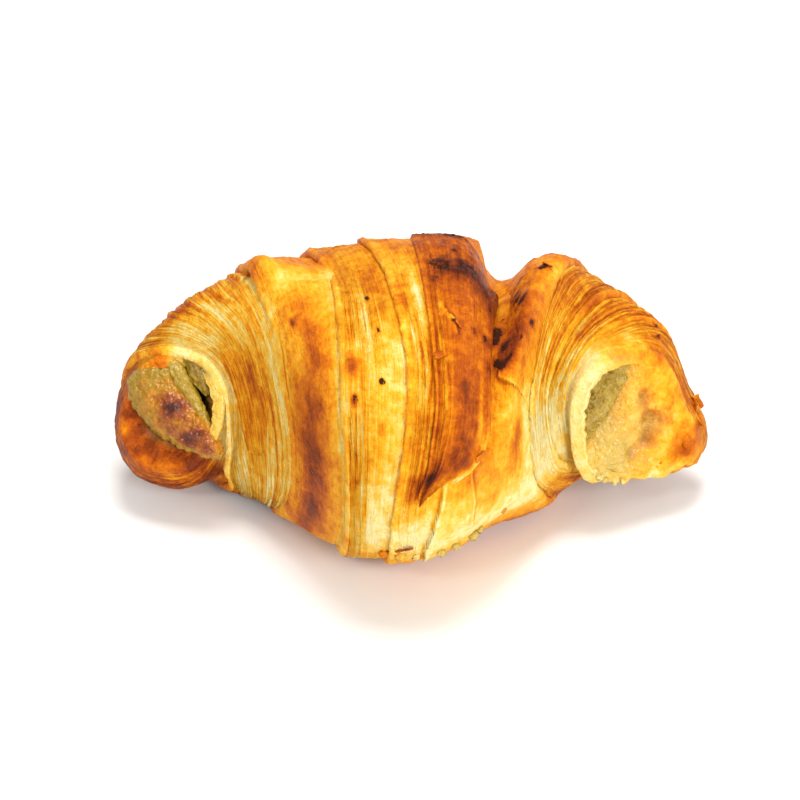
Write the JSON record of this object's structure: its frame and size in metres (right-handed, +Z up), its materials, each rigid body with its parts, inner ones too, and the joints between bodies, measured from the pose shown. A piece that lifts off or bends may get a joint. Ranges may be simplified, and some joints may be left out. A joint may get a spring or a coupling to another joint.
{
  "type": "pistachio-filled croissant",
  "caption": "Baked laminated croissant with overlapping wraps, a burnt last wrap and pistachio filling showing in both open ends.",
  "frame": {"origin": "middle of the flat spot under the belly, where the croissant rests", "axes": "+X along the roll toward the right mouth, +Z up, front with both mouths toward -Y"},
  "size_m": [0.1477, 0.0883, 0.0691],
  "materials": {
    "pastry": "baked, flaky, lightly glossy with egg wash and butter",
    "pistachio_filling": "moist nut paste, glossy, toasted brown where it met the heat"
  },
  "bodies": {
    "root": {"pastry": "pastry", "pistachio_filling": "pistachio_filling"}
  },
  "joints": []
}
